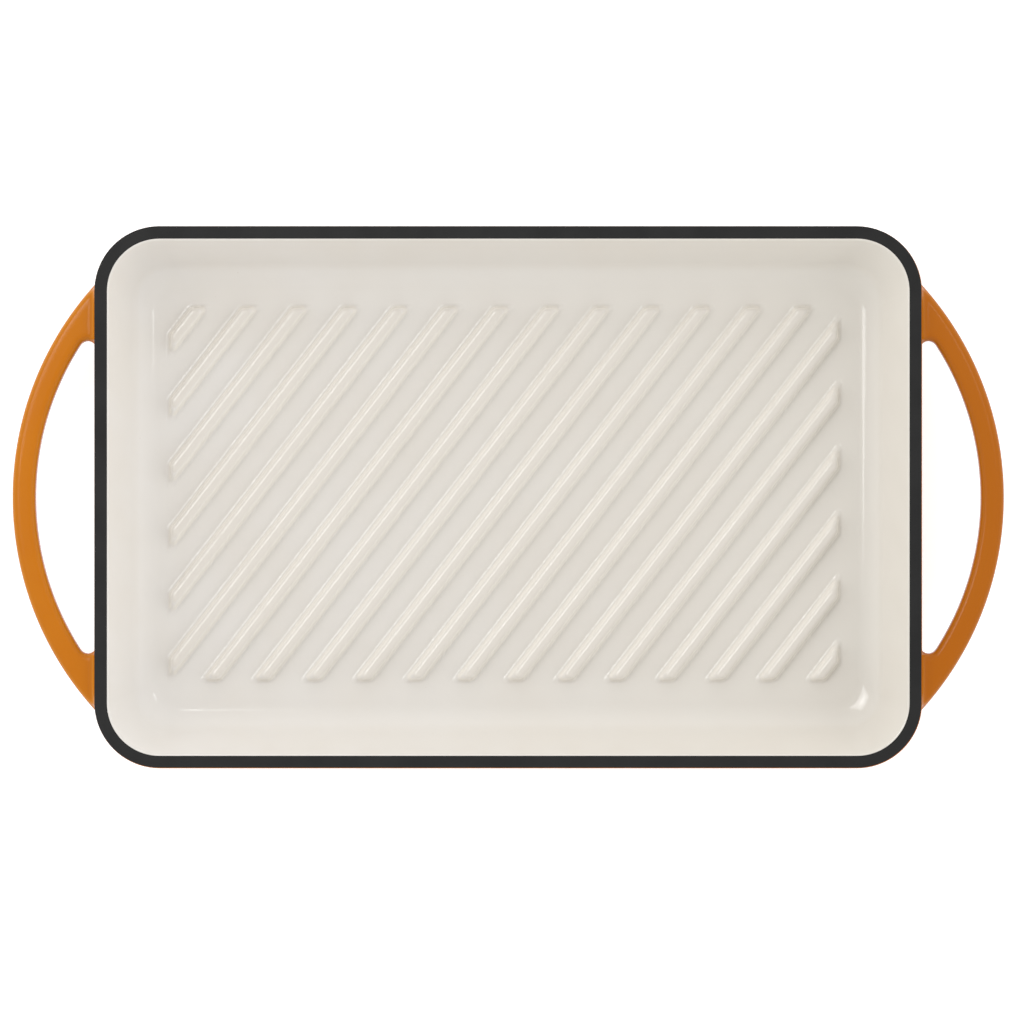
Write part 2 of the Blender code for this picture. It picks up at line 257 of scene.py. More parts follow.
def face_outwards(piece, probe):
    """Makes the faces agree, the one nearest the probe's point facing along the probe's direction."""
    point, direction = probe
    bpy.ops.mesh.select_mode(type="FACE")
    bpy.ops.mesh.select_all(action="SELECT")
    bpy.ops.mesh.normals_make_consistent(inside=False)
    shape = bmesh.from_edit_mesh(piece.data)
    nearest = min(shape.faces, key=lambda face: (face.calc_center_median() - Vector(point)).length)
    if nearest.normal.dot(Vector(direction)) < 0.0:
        bpy.ops.mesh.flip_normals()


def finish_piece(piece, material, slot, *nodes, crease=35.0, weighted=True):
    """Shades the piece, gives it its material and puts it in place of its CAD nodes."""
    select_only(piece)
    bpy.ops.object.shade_smooth_by_angle(angle=radians(crease))
    if weighted:
        apply_modifier(piece, "WEIGHTED_NORMAL", keep_sharp=True, weight=50)
    piece.data.materials.clear()
    piece.data.materials.append(material)
    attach(piece, "root")
    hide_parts(*nodes)


def arc(circle, start, end, steps):
    """Points of a wall's section round a circle.

    An angle is that of the surface's normal, in degrees from straight up towards the middle of the
    plate. A hollow fillet has a negative radius.
    """
    points = []
    for step in range(steps + 1):
        angle = radians(start + (end - start) * step / steps)
        points.append((circle.inset + circle.radius * sin(angle), circle.z + circle.radius * cos(angle)))
    return points


def wall_normal(lip, fillet, side):
    """Normal angle, in degrees, of the straight wall that joins two circles of a section."""
    across, up = lip.inset - fillet.inset, lip.z - fillet.z
    lean = acos((fillet.radius - lip.radius) / hypot(across, up))
    return degrees(atan2(across, up) + side * lean)


def corner_radius(inset, at_rim, at_flat, flat_inset):
    """Corner radius of a wall at an inset, where it shrinks evenly from the rim to the flat."""
    return at_rim + (at_flat - at_rim) * inset / flat_inset


def add_ring(ring, steps):
    """Adds a rounded rectangle of edges: a plane at its size, with its corners bevelled round."""
    place = (ring.shift_x, ring.shift_y, ring.z)
    size = (RIM_OUTLINE.x - ring.inset, RIM_OUTLINE.y - ring.inset, 1.0)
    bpy.ops.mesh.primitive_plane_add(size=2.0, location=place)
    bpy.ops.transform.resize(value=size, center_override=place)
    bpy.ops.mesh.bevel(affect="VERTICES", offset=ring.radius, segments=steps, profile=0.5)
    bpy.ops.mesh.delete(type="ONLY_FACE")


def on_ring(vertex, ring):
    """Whether a vertex lies on a rounded rectangle."""
    if abs(vertex.co.z - ring.z) > TINY:
        return False
    out_x = abs(vertex.co.x - ring.shift_x) - (RIM_OUTLINE.x - ring.inset - ring.radius)
    out_y = abs(vertex.co.y - ring.shift_y) - (RIM_OUTLINE.y - ring.inset - ring.radius)
    reach = hypot(max(out_x, 0.0), max(out_y, 0.0)) + min(max(out_x, out_y), 0.0)
    return abs(reach - ring.radius) < TINY


def skin(rings, steps=20, closed=False):
    """Adds the rings in edit mode and bridges each to the next."""
    for ring in rings:
        add_ring(ring, steps)
    pairs = list(zip(rings, rings[1:]))
    if closed:
        pairs.append((rings[-1], rings[0]))
    for near, far in pairs:
        # Two rings in one plane would be bridged crosswise, so one of them is lifted meanwhile
        lift = 0.002 if abs(near.z - far.z) < TINY else 0.0
        raised = far._replace(z=far.z + lift)
        if lift:
            pick("VERT", lambda vertex: on_ring(vertex, far))
            bpy.ops.transform.translate(value=(0.0, 0.0, lift))
        pick("EDGE", lambda edge: any(all(on_ring(v, ring) for v in edge.verts) for ring in (near, raised)))
        bpy.ops.mesh.bridge_edge_loops(type="SINGLE")
        if lift:
            pick("VERT", lambda vertex: on_ring(vertex, raised))
            bpy.ops.transform.translate(value=(0.0, 0.0, -lift))


def rib_place(point, sizes):
    """Position of a point in the field of ribs: across them, and the number of the nearest rib."""
    across = (point.x - FIELD_MIDDLE.x) * sin(sizes.rib_angle) - (point.y - FIELD_MIDDLE.y) * cos(sizes.rib_angle)
    number = round((across - RIB_PHASE) / sizes.rib_pitch)
    return across - RIB_PHASE - number * sizes.rib_pitch, number


def meets(number, side, sizes):
    """Whether a rib's centre line ends at this side of the field."""
    offset = RIB_PHASE + number * sizes.rib_pitch
    if side.x:
        along = (sizes.field_x * side.x * sin(sizes.rib_angle) - offset) / cos(sizes.rib_angle)
        return abs(along) <= sizes.field_y
    along = (sizes.field_y * side.y * cos(sizes.rib_angle) + offset) / sin(sizes.rib_angle)
    return abs(along) <= sizes.field_x


def rib_section():
    """Half a rib's section from the floor up, as (growth of its outline, height above the floor)."""
    sizes = plate()
    slope = atan2(sizes.rib_height, sizes.rib_run)
    root, crest = sizes.rib_root, sizes.rib_crest
    root_steps, crest_steps = 4, 6
    points = []
    for step in range(root_steps + 1):
        angle = slope * step / root_steps
        points.append((root * (tan(slope / 2) - sin(angle)), root * (1 - cos(angle))))
    for step in range(crest_steps + 1):
        angle = slope * (1 - step / crest_steps)
        growth = crest * (sin(angle) - tan(slope / 2)) - sizes.rib_run
        points.append((growth, sizes.rib_height - crest * (1 - cos(angle))))
    return points


def rib_outlines(name, growth, z):
    """Outlines of all the ribs at one level: a strip copied at the pitch, cut off at the sides and rounded."""
    sizes = plate()
    across = Vector((sin(sizes.rib_angle), -cos(sizes.rib_angle), 0.0))
    half_width = sizes.rib_width / 2 + growth
    first = FIELD_MIDDLE + across * (RIB_PHASE - (sizes.rib_count // 2) * sizes.rib_pitch)
    sharp_radius = min(sizes.sharp_corner, SHARP_SHARE * half_width)
    blunt_radius = min(sizes.blunt_corner, BLUNT_SHARE * half_width)

    bpy.ops.object.select_all(action="DESELECT")
    bpy.ops.mesh.primitive_plane_add(size=1.0, location=(first.x, first.y, z), rotation=(0, 0, sizes.rib_angle))
    strip = bpy.context.object
    strip.name = name
    strip.scale = (4 * sizes.field_x, 2 * half_width, 1.0)
    bpy.ops.object.transform_apply(location=True, rotation=True, scale=True)
    apply_modifier(
        strip, "ARRAY", count=sizes.rib_count, use_relative_offset=False, use_constant_offset=True,
        constant_offset_displace=across * sizes.rib_pitch,
    )

    bpy.ops.object.mode_set(mode="EDIT")
    reach = Vector((sizes.field_x + growth, sizes.field_y + growth, 0.0))
    for side in SIDES:
        edge = FIELD_MIDDLE + side * abs(side.dot(reach))
        pick("FACE", lambda face: meets(rib_place(face.calc_center_median(), sizes)[1], side, sizes))
        bpy.ops.mesh.bisect(plane_co=(edge.x, edge.y, z), plane_no=side, clear_outer=True)

    for side in SIDES:
        edge = side.dot(FIELD_MIDDLE) + abs(side.dot(reach))
        sharp_side = -1.0 if side in (SIDES[0], SIDES[3]) else 1.0
        sharp_angle = pi / 2 - sizes.rib_angle if side.x else sizes.rib_angle
        for line, angle, radius, steps in (
            (sharp_side, sharp_angle, sharp_radius, 6), (-sharp_side, pi - sharp_angle, blunt_radius, 4),
        ):
            def corner(vertex):
                reached = abs(vertex.co.dot(side) - edge) < TINY
                return reached and abs(rib_place(vertex.co, sizes)[0] - line * half_width) < TINY

            pick("VERT", corner)
            bpy.ops.mesh.bevel(affect="VERTICES", offset=radius / tan(angle / 2), segments=steps, profile=0.5)
    bpy.ops.mesh.select_all(action="SELECT")
    bpy.ops.mesh.delete(type="ONLY_FACE")
    bpy.ops.object.mode_set(mode="OBJECT")
    return strip


def at_level(edge, *levels):
    """Whether both ends of an edge lie on one of these levels."""
    return any(all(abs(vertex.co.z - level) < TINY / 10 for vertex in edge.verts) for level in levels)


def join_pieces(target, *others):
    """Joins the other objects into the first one."""
    select_only(target, *others)
    bpy.ops.object.join()


# Materials


class Nodes:
    """A node tree, with short ways to add to it."""

    def __init__(self, tree):
        self.tree = tree

    def give(self, socket, value):
        """Links an output to an input, or sets the input to a plain value."""
        if isinstance(value, bpy.types.NodeSocket):
            self.tree.links.new(value, socket)
        else:
            socket.default_value = value

    def add(self, kind, settings=(), **inputs):
        """Adds a node with these settings, and inputs that are named with underscores for spaces."""
        node = self.tree.nodes.new(kind)
        for setting, value in dict(settings).items():
            setattr(node, setting, value)
        for name, value in inputs.items():
            self.give(node.inputs[name.replace("_", " ")], value)
        return node

    def math(self, operation, *operands):
        """A Math node on sockets or numbers."""
        node = self.add("ShaderNodeMath", {"operation": operation})
        for socket, operand in zip(node.inputs, operands):
            self.give(socket, operand)
        return node.outputs[0]

    def blend(self, value, other, share):
        """The first value where the share is 0, and the other one where it is 1."""
        node = self.add("ShaderNodeMix", {"data_type": "FLOAT"})
        for number, operand in ((0, share), (2, value), (3, other)):
            self.give(node.inputs[number], operand)
        return node.outputs[0]

    def ramp(self, value, low, high, **ends):
        """A smooth rise from 0 at a low value to 1 at a high one."""
        smooth = {"interpolation_type": "SMOOTHSTEP"}
        node = self.add("ShaderNodeMapRange", smooth, Value=value, From_Min=low, From_Max=high, **ends)
        return node.outputs["Result"]


class Group(Nodes):
    """A new shader node group with these inputs and one output. A vector input has no default."""

    def __init__(self, name, output, **inputs):
        super().__init__(bpy.data.node_groups.new(name, "ShaderNodeTree"))
        new_socket = self.tree.interface.new_socket
        for label, default in inputs.items():
            kind = "NodeSocketVector" if default is None else "NodeSocketFloat"
            socket = new_socket(name=label.replace("_", " "), in_out="INPUT", socket_type=kind)
            if default is not None:
                socket.default_value = default
        new_socket(name=output, in_out="OUTPUT", socket_type="NodeSocketFloat")
        self.given = self.add("NodeGroupInput").outputs
        self.result = self.add("NodeGroupOutput").inputs[output]


def make_ripple():
    """Slow waves of fired enamel, with a finer orange peel on top."""
    group = Group("Enamel Ripple", "Height", Vector=None, Wave_Scale=110.0, Peel_Scale=900.0, Peel_Share=0.15)
    place, wave_scale, peel_scale, peel_share = list(group.given)[:4]
    waves = group.add("ShaderNodeTexNoise", Vector=place, Scale=wave_scale, Detail=1.5, Roughness=0.45)
    peel = group.add("ShaderNodeTexNoise", Vector=place, Scale=peel_scale, Detail=1.0, Roughness=0.5)
    group.give(group.result, group.blend(waves.outputs["Fac"], peel.outputs["Fac"], peel_share))
    return group.tree


def make_drift():
    """Soft clouds from 0 to 1, for slow changes of tone and gloss."""
    group = Group("Tone Drift", "Clouds", Vector=None, Scale=25.0)
    place, scale = list(group.given)[:2]
    clouds = group.add("ShaderNodeTexNoise", Vector=place, Scale=scale, Detail=3.0, Roughness=0.55)
    group.give(group.result, group.ramp(clouds.outputs["Fac"], 0.3, 0.7))
    return group.tree


def make_specks():
    """Scattered round specks of uneven size, 1 in their middles."""
    group = Group("Specks", "Mask", Vector=None, Scale=900.0, Size=0.3, Share=0.2)
    place, scale, size, share = list(group.given)[:4]
    cells = group.add("ShaderNodeTexVoronoi", Vector=place, Scale=scale).outputs
    chance = group.add("ShaderNodeSeparateColor", Color=cells["Color"]).outputs
    edge = group.math("MULTIPLY", chance[1], size)
    fade = group.ramp(cells["Distance"], 0.0, edge, To_Min=1.0, To_Max=0.0)
    group.give(group.result, group.math("MULTIPLY", fade, group.math("LESS_THAN", chance[0], share)))
    return group.tree


def make_height_mask():
    """0 below one height and 1 above another, along the object's Z."""
    group = Group("Height Mask", "Mask", Vector=None, Low=0.0, High=0.01)
    place, low, high = list(group.given)[:3]
    height = group.add("ShaderNodeSeparateXYZ", Vector=place).outputs["Z"]
    group.give(group.result, group.ramp(height, low, high))
    return group.tree


def make_slope_mask():
    """1 where the surface stands upright and 0 where it lies flat."""
    group = Group("Slope Mask", "Mask", From=0.3, To=0.9)
    low, high = list(group.given)[:2]
    normal = group.add("ShaderNodeNewGeometry").outputs["Normal"]
    flatness = group.math("ABSOLUTE", group.add("ShaderNodeSeparateXYZ", Vector=normal).outputs["Z"])
    group.give(group.result, group.ramp(group.math("SUBTRACT", 1.0, flatness), low, high))
    return group.tree


GROUP_MAKERS = {
    "Enamel Ripple": make_ripple,
    "Tone Drift": make_drift,
    "Specks": make_specks,
    "Height Mask": make_height_mask,
    "Slope Mask": make_slope_mask,
}


class Finish(Nodes):
    """One material: a Principled shader and the nodes that feed it."""

    def __init__(self, name, **constants):
        self.material = bpy.data.materials.new(name)
        self.material.use_nodes = True
        super().__init__(self.material.node_tree)
        self.shader = self.tree.nodes["Principled BSDF"]
        self.feed(**constants)
        self.place = self.add("ShaderNodeTexCoord").outputs["Object"]

    def feed(self, **inputs):
        """Gives the shader's inputs, named with underscores for spaces, their sockets or values."""
        for name, value in inputs.items():
            self.give(self.shader.inputs[name.replace("_", " ")], value)

    def effect(self, name, **values):
        """One of the shared groups, placed on the object's own coordinates; gives its output."""
        group = bpy.data.node_groups.get(name) or GROUP_MAKERS[name]()
        node = self.add("ShaderNodeGroup", {"node_tree": group}, **values)
        if "Vector" in node.inputs:
            self.give(node.inputs["Vector"], self.place)
        return node.outputs[0]

    def along(self, axis):
        """The object's own coordinate along X or Y."""
        return self.add("ShaderNodeSeparateXYZ", Vector=self.place).outputs[axis]

    def to_the_right(self, reach):
        """0 at this distance left of the plate's middle, and 1 at the same distance right of it."""
        return self.math("MULTIPLY_ADD", self.along("X"), 0.5 / reach, 0.5)

    def tint(self, base, other, mask):
        """Mixes a colour or socket towards another colour where the mask is 1."""
        node = self.add("ShaderNodeMix", {"data_type": "RGBA"})
        self.give(node.inputs[0], mask)
        for socket, value in ((node.inputs[6], base), (node.inputs[7], other)):
            self.give(socket, value if isinstance(value, bpy.types.NodeSocket) else (*value, 1.0))
        return node.outputs[2]

    def relief(self, height, distance):
        """Turns a height into bumps of this depth."""
        bump = self.add("ShaderNodeBump", Strength=1.0, Distance=distance, Height=height)
        self.feed(Normal=bump.outputs["Normal"])


def shade(base, *factors):
    """A colour scaled channel by channel."""
    return tuple(channel * factor for channel, factor in zip(base, factors))


def field_mask(finish):
    """1 over the field of ribs and their fillets, and 0 on the walls."""
    fillet = 0.0012
    mask = 1.0
    for axis, middle, reach in (("X", FIELD_MIDDLE.x, plate().field_x), ("Y", FIELD_MIDDLE.y, plate().field_y)):
        offset = finish.math("ABSOLUTE", finish.math("SUBTRACT", finish.along(axis), middle))
        mask = finish.math("MULTIPLY", finish.math("LESS_THAN", offset, reach + fillet), mask)
    return mask


def cream_enamel():
    """Glossy cream vitreous enamel with painted light and shade: painted shade towards the right, painted light
    on the ribs' sides, and painted shade with a warmer tone on their tops; with a few faint specks.
    """
    base = bpy.context.scene.enamel_colours.cream
    floor_z = COOKING_COAT.z + plate().coat
    crest_z = floor_z + plate().rib_height
    finish = Finish("cream_enamel_finish", IOR=1.55)
    drift = finish.effect("Tone Drift", Scale=22.0)
    on_crests = finish.effect("Height Mask", Low=crest_z - 0.0006, High=crest_z)
    specks = finish.effect("Specks", Scale=330.0, Size=0.12, Share=0.05)
    in_field = field_mask(finish)
    # Painted shade: the cream turns darker and warmer towards the right, where less light falls.
    tone = finish.tint(base, shade(base, 0.960, 0.950, 0.908), finish.to_the_right(RIM_OUTLINE.x))
    tone = finish.tint(tone, shade(base, 0.955, 0.935, 0.895), finish.math("MULTIPLY", drift, 0.5))
    # Painted light: the ribs' sloping sides are lightened, as where they face the light.
    painted_light_on_flanks = finish.math("MULTIPLY", finish.effect("Slope Mask", From=0.12, To=0.55), in_field)
    tone = finish.tint(tone, shade(base, 1.075, 1.063, 1.025), painted_light_on_flanks)
    # The ribs' tops get a warmer tone and are darkened with painted shade.
    crest_tone_and_shade = finish.math("MULTIPLY", on_crests, in_field)
    tone = finish.tint(tone, shade(base, 0.920, 0.897, 0.850), finish.math("MULTIPLY", crest_tone_and_shade, 0.85))
    tone = finish.tint(tone, shade(base, 0.62, 0.55, 0.45), finish.math("MULTIPLY", specks, 0.5))
    finish.feed(Base_Color=tone)
    finish.feed(Roughness=finish.math("MULTIPLY_ADD", drift, 0.04, 0.06))
    finish.relief(finish.effect("Enamel Ripple", Wave_Scale=95.0, Peel_Scale=700.0, Peel_Share=0.12), 0.00010)
    return finish.material


def orange_enamel():
    """Glossy orange enamel with painted light and shade: a pale painted sheen over rounded edges, and painted
    shade deepening the upright sides and the right-hand side.
    """
    found = bpy.data.materials.get("orange_enamel_finish")
    if found:
        return found
    base = bpy.context.scene.enamel_colours.orange
    finish = Finish("orange_enamel_finish", IOR=1.5, Specular_IOR_Level=0.18)
    drift = finish.effect("Tone Drift", Scale=30.0)
    painted_sheen_edges = finish.effect("Slope Mask", From=0.03, To=0.30)
    upright = finish.effect("Slope Mask", From=0.35, To=0.90)
    high = finish.effect("Height Mask", Low=0.004, High=0.026)
    specks = finish.effect("Specks", Scale=520.0, Size=0.16, Share=0.08)
    tone = finish.tint(shade(base, 0.86, 0.72, 0.6), base, high)
    tone = finish.tint(tone, shade(base, 0.96, 0.92, 0.85), drift)
    # Painted sheen: rounded edges are paled towards white, as a reflection would show them.
    tone = finish.tint(tone, shade(base, 1.06, 1.25, 3.0), finish.math("MULTIPLY", painted_sheen_edges, 0.6))
    # Painted shade: the upright sides, which turn away from the light, are deeper and darker.
    tone = finish.tint(tone, shade(base, 0.88, 0.72, 0.75), finish.math("MULTIPLY", upright, 0.8))
    # Painted shade: the orange turns darker towards the right, where less light falls.
    to_the_right = finish.to_the_right(HANDLE_HIGH.x)
    tone = finish.tint(tone, shade(base, 0.62, 0.47, 0.30), finish.math("MULTIPLY", to_the_right, 0.6))
    tone = finish.tint(tone, shade(base, 0.6, 0.5, 0.5), finish.math("MULTIPLY", specks, 0.4))
    finish.feed(Base_Color=tone)
    finish.feed(Roughness=finish.math("MULTIPLY_ADD", drift, 0.06, 0.14))
    finish.relief(finish.effect("Enamel Ripple", Wave_Scale=120.0, Peel_Scale=800.0, Peel_Share=0.2), 0.00007)
    return finish.material


def ground_enamel():
    """Matte black ground coat with a fine grain and small grey specks."""
    found = bpy.data.materials.get("ground_enamel_finish")
    if found:
        return found
    base = bpy.context.scene.enamel_colours.black
    finish = Finish("ground_enamel_finish", IOR=1.45, Specular_IOR_Level=0.3)
    drift = finish.effect("Tone Drift", Scale=60.0)
    grain = finish.effect("Enamel Ripple", Wave_Scale=1600.0, Peel_Scale=4200.0, Peel_Share=0.45)
    specks = finish.effect("Specks", Scale=1500.0, Size=0.5, Share=0.25)
    tone = finish.tint(base, shade(base, 0.8, 0.8, 0.8), drift)
    tone = finish.tint(tone, shade(base, 2.3, 2.25, 2.2), finish.math("MULTIPLY", specks, 0.45))
    finish.feed(Base_Color=tone)
    finish.feed(Roughness=finish.math("MULTIPLY_ADD", drift, 0.1, 0.5))
    finish.relief(finish.math("ADD", grain, finish.math("MULTIPLY", specks, 0.3)), 0.00012)
    return finish.material


def cast_iron():
    """Bare sand-cast iron, seen only in the slots between the coats."""
    base = bpy.context.scene.enamel_colours.iron
    finish = Finish("cast_iron_finish")
    drift = finish.effect("Tone Drift", Scale=80.0)
    sand = finish.effect("Enamel Ripple", Wave_Scale=700.0, Peel_Scale=2600.0, Peel_Share=0.5)
    finish.feed(Base_Color=finish.tint(base, shade(base, 1.6, 1.35, 1.1), drift))
    finish.feed(Metallic=finish.math("MULTIPLY_ADD", drift, -0.2, 0.85))
    finish.feed(Roughness=finish.math("MULTIPLY_ADD", sand, 0.3, 0.45))
    finish.relief(sand, 0.0002)
    return finish.material


# Operators, one for each piece or group of like pieces


class GRILL_OT_lining(bpy.types.Operator):
    """Model the cream lining: lip, sloping walls, floor and slanting ribs in one coat"""

    bl_idname = "grill.lining"
    bl_label = "Cream Lining"

    def execute(self, context):
        sizes = plate()
        floor_z = COOKING_COAT.z + sizes.coat
        top = RIM_OUTLINE.z - LINING_DROP
        lip = Circle(inset=sizes.rim_width + 0.0001, z=top - sizes.lip_radius, radius=sizes.lip_radius)
        fillet = Circle(sizes.floor_inset, floor_z + sizes.floor_fillet, -sizes.floor_fillet)
        wall = wall_normal(lip, fillet, 1)
        section = [(sizes.rim_width + TINY, top)]
        section += arc(lip, 0.0, wall, 5) + arc(fillet, wall, 0.0, 14)
        section.append((sizes.floor_inset + 0.0007, floor_z))
        inner_radius = sizes.rim_radius - sizes.rim_width
        rings = []
        for inset, z in section:
            radius = corner_radius(
                inset - sizes.rim_width, inner_radius, sizes.floor_radius, sizes.floor_inset - sizes.rim_width,
            )
            rings.append(Ring(inset, radius, z))

        section = [(growth, floor_z + height) for growth, height in rib_section()]
        outlines = [rib_outlines(f"rib_level_{step}", growth, z) for step, (growth, z) in enumerate(section)]
        ribs = outlines[0]
        join_pieces(*outlines)
        bpy.ops.object.mode_set(mode="EDIT")
        for (_, low), (_, high) in zip(section, section[1:]):
            pick("EDGE", lambda edge: at_level(edge, low, high))
            bpy.ops.mesh.bridge_edge_loops(type="PAIRS")
        crest_z = section[-1][1]
        pick("EDGE", lambda edge: at_level(edge, crest_z))
        bpy.ops.mesh.fill(use_beauty=True)
        bpy.ops.object.mode_set(mode="OBJECT")

        lining = start_piece("cream_lining")
        skin(rings)
        bpy.ops.object.mode_set(mode="OBJECT")
        join_pieces(lining, ribs)
        bpy.ops.object.mode_set(mode="EDIT")
        pick("EDGE", lambda edge: edge.is_boundary and at_level(edge, floor_z))
        bpy.ops.mesh.fill(use_beauty=True)
        face_outwards(lining, ((0.0, -RIM_OUTLINE.y + sizes.floor_inset, floor_z), (0, 0, 1)))
        apply_modifier(lining, "SOLIDIFY", thickness=sizes.coat, offset=-1.0)
        finish_piece(lining, cream_enamel(), "cream_enamel", "cream_cooking_enamel", crease=50.0)
        return {"FINISHED"}


class GRILL_OT_rim(bpy.types.Operator):
    """Model the matte black band on top of the wall"""

    bl_idname = "grill.rim"
    bl_label = "Rim Band"

    def execute(self, context):
        sizes = plate()
        top = RIM_OUTLINE.z
        bottom = top - sizes.coat
        outer_radius, inner_radius = 0.00018, 0.00025
        # The band's outer edge is drawn in and set over a little, so that orange shows along two sides
        shift = 0.00013
        outer_edge = Circle(outer_radius, top - outer_radius, outer_radius)
        inner_edge = Circle(sizes.rim_width - inner_radius, top - inner_radius, inner_radius)
        section = [(0.0, bottom)] + arc(outer_edge, -90.0, 0.0, 4)
        rings = [
            Ring(inset + shift, sizes.rim_radius - shift - inset, z, -shift, shift) for inset, z in section
        ]
        section = arc(inner_edge, 0.0, 90.0, 4) + [(sizes.rim_width, bottom)]
        rings += [Ring(inset, sizes.rim_radius - inset, z) for inset, z in section]
        band = start_piece("rim_band")
        skin(rings, closed=True)
        face_outwards(band, ((0.0, RIM_OUTLINE.y - sizes.rim_width / 2, top), (0, 0, 1)))
        finish_piece(band, ground_enamel(), "black_ground_enamel", "black_rim_enamel")
        return {"FINISHED"}


def model_wall(name):
    """The orange coat outside, from the foot up to the lip that is rolled over the rim's edge."""
    sizes = plate()
    lip = Circle(inset=0.0005, z=RIM_OUTLINE.z - 0.00065, radius=0.0005)
    fillet = Circle(sizes.base_inset, BASE_LOW + sizes.base_fillet, sizes.base_fillet)
    wall = wall_normal(lip, fillet, -1) % 360.0
    foot_inset = RIM_OUTLINE.x - FOOT_OUTLINE.x
    section = arc(fillet, 180.0, wall, 14) + arc(lip, wall, 370.0, 7)
    section.append((0.0011, RIM_OUTLINE.z - 0.0006))
    rings = [
        Ring(inset=foot_inset - 0.0003, radius=0.0113, z=BASE_LOW),
        Ring(inset=sizes.base_inset + 0.0008, radius=0.0135, z=BASE_LOW),
    ]
    rings += [
        Ring(inset, corner_radius(inset, sizes.rim_radius, sizes.base_radius, sizes.base_inset), z)
        for inset, z in section
    ]
    piece = start_piece(name)
    skin(rings)
    face_outwards(piece, ((RIM_OUTLINE.x - 0.006, 0.0, 0.018), (1, 0, 0)))
    return piece


class GRILL_OT_wall(bpy.types.Operator):
    """Model the orange coat on the outer walls, with its edge rolled over beside the rim"""

    bl_idname = "grill.wall"
    bl_label = "Orange Wall"

    def execute(self, context):
        wall = model_wall("orange_wall")
        apply_modifier(wall, "SOLIDIFY", thickness=0.0003, offset=-1.0)
        finish_piece(wall, orange_enamel(), "orange_enamel", "orange_wall_enamel", crease=60.0)
        return {"FINISHED"}


def add_prism(name, radius, centre, low, high, axis="Z", vertices=512, depth=None):
    """Adds a round prism as an object, with its place in its mesh."""
    bpy.ops.object.select_all(action="DESELECT")
    turn = (pi / 2, 0.0, 0.0) if axis == "Y" else (0.0, 0.0, 0.0)
    middle = (centre[0], centre[1], (low + high) / 2)
    bpy.ops.mesh.primitive_cylinder_add(
        vertices=vertices, radius=radius, depth=depth or high - low, location=middle, rotation=turn,
    )
    prism = bpy.context.object
    prism.name = name
    bpy.ops.object.transform_apply(location=True, rotation=True, scale=True)
    return prism


def cut_all(piece, *planes):
    """Cuts the whole piece at planes, as (point, direction to clear), and closes each cut."""
    edit_all(piece)
    for point, direction in planes:
        bpy.ops.mesh.select_all(action="SELECT")
        bpy.ops.mesh.bisect(plane_co=point, plane_no=direction, clear_outer=True, use_fill=True)
    bpy.ops.object.mode_set(mode="OBJECT")


def loop_prism(name, inset, low, high):
    """The loop seen from above, as an upright block: a round slab with its window cut out."""
    sizes = bpy.context.scene.grill_handles
    end_x = RIM_OUTLINE.x
    outer_x = HANDLE_HIGH.x - sizes.outer_radius
    window_x = end_x + sizes.window_rise - sizes.window_radius
    window_start = end_x - 0.0004
    corner_x = window_start + sizes.corner_radius
    corner_y = sqrt((sizes.window_radius - sizes.corner_radius) ** 2 - (corner_x - window_x) ** 2)
    swing = atan2(corner_y, corner_x - window_x)

    slab = add_prism(name, sizes.outer_radius - inset, (outer_x, 0.0), low, high)
    cut_all(slab, ((LOOP_START, 0, 0), (-1, 0, 0)))

    # The window is cut by a wedge of a large circle, two corner circles and the box between them
    margin = 0.01
    below, above = low - margin, high + margin
    wedge = add_prism("window", sizes.window_radius + inset, (window_x, 0.0), below, above)
    wedge_start, hinge = (end_x - 0.004, 0.0, 0.0), (window_x, 0.0, 0.0)
    cut_all(
        wedge, (wedge_start, (-1, 0, 0)), (hinge, (-sin(swing), cos(swing), 0)),
        (hinge, (-sin(swing), -cos(swing), 0)),
    )
    tools = [wedge]
    for side in (1, -1):
        tools.append(add_prism(
            "window_corner", sizes.corner_radius + inset, (corner_x, side * corner_y), below, above, vertices=64,
        ))
    opening_length = 0.020
    bpy.ops.object.select_all(action="DESELECT")
    bpy.ops.mesh.primitive_cube_add(size=1.0, location=(corner_x - opening_length / 2, 0.0, (low + high) / 2))
    opening = bpy.context.object
    opening.scale = (opening_length, 2 * corner_y, high - low + 2 * margin)
    bpy.ops.object.transform_apply(location=True, rotation=True, scale=True)
    tools.append(opening)
    for tool in tools:
        apply_modifier(slab, "BOOLEAN", operation="DIFFERENCE", solver="EXACT", object=tool)
    for tool in tools:
        bpy.data.objects.remove(tool)
    return slab


